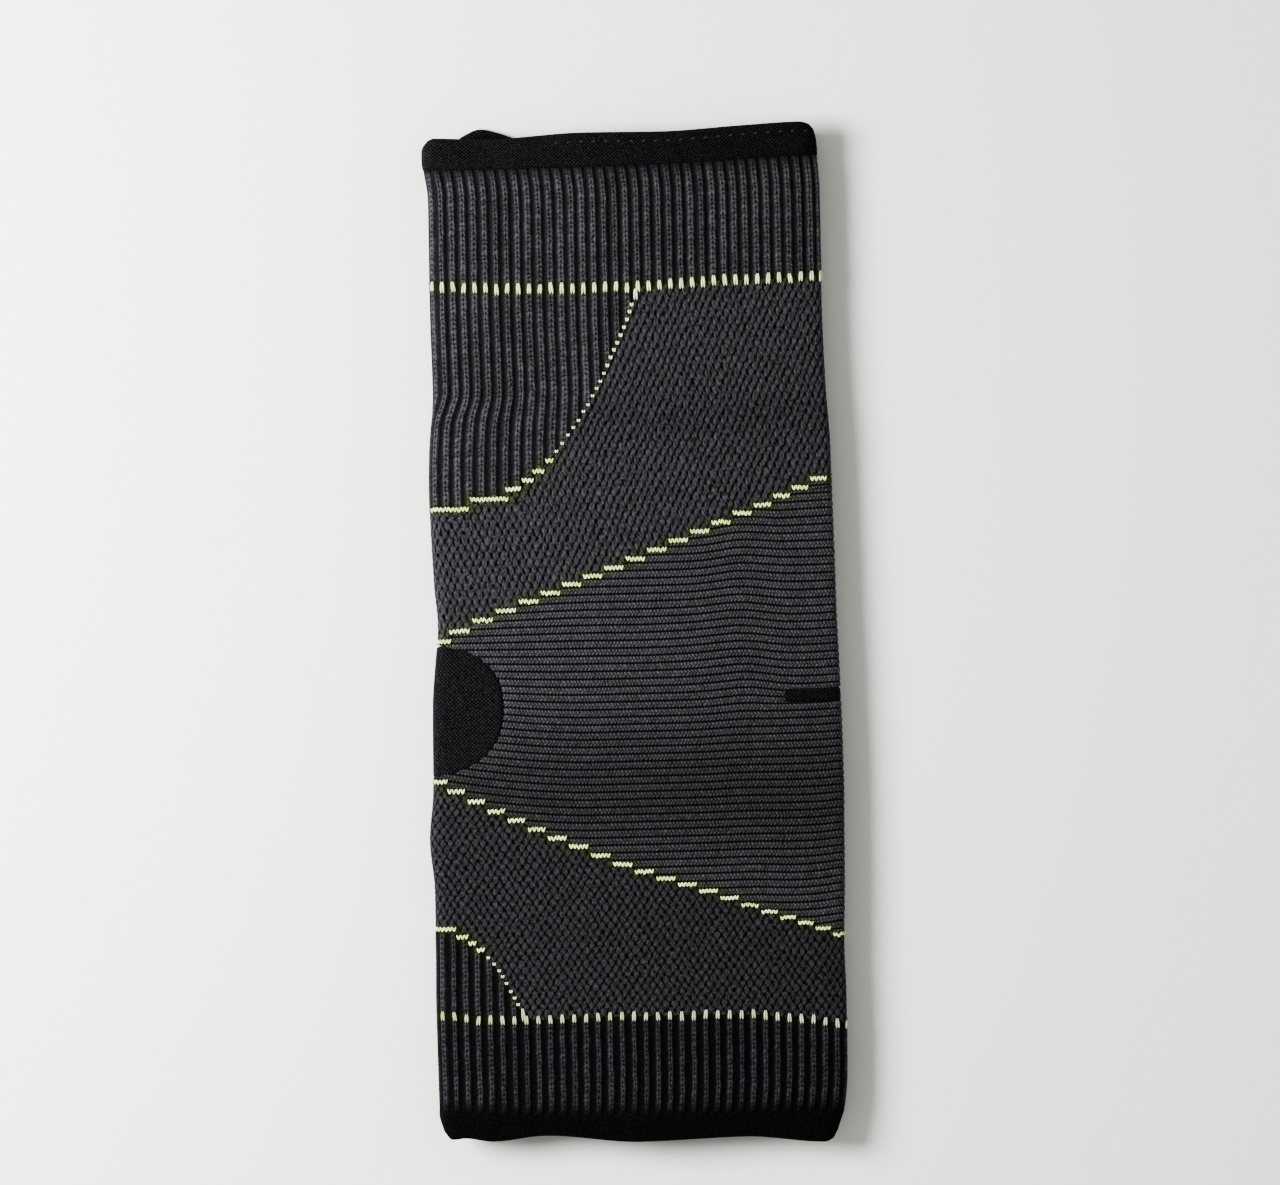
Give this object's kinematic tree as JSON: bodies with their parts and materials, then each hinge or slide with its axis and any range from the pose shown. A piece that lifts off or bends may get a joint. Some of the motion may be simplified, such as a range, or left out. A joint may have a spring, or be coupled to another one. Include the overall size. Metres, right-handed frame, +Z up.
{
  "type": "elbow support",
  "caption": "Knitted elbow compression sleeve lying flat, with turned hems, ribbed cuffs, mesh panels, a cross-ribbed joint wedge and a plain elbow patch.",
  "frame": {"origin": "middle of the underside's bounding box, on the surface it lies on", "axes": "+Y along the sleeve towards the upper arm's opening, +X towards the fold in the crook, +Z up through the flattened thickness"},
  "size_m": [0.1012, 0.25, 0.0113],
  "materials": {
    "hem_knit": "matt black plain knit, turned double",
    "rib_knit": "dark grey melange ribs over black",
    "mesh_knit": "dark grey melange bird's-eye mesh",
    "ridge_knit": "dark grey melange cross ribs",
    "plain_knit": "matt black fine plain knit",
    "accent_yarn": "pale yellow-green accent stitches along the borders of the zones"
  },
  "bodies": {
    "root": {"upper_welt": "hem_knit", "upper_cuff": "rib_knit", "upper_rib_tongue": "rib_knit", "upper_mesh_panel": "mesh_knit", "joint_panel": "ridge_knit", "elbow_patch": "plain_knit", "fold_bar": "plain_knit", "lower_mesh_panel": "mesh_knit", "lower_rib_tongue": "rib_knit", "lower_cuff": "rib_knit", "lower_welt": "hem_knit"}
  },
  "joints": []
}
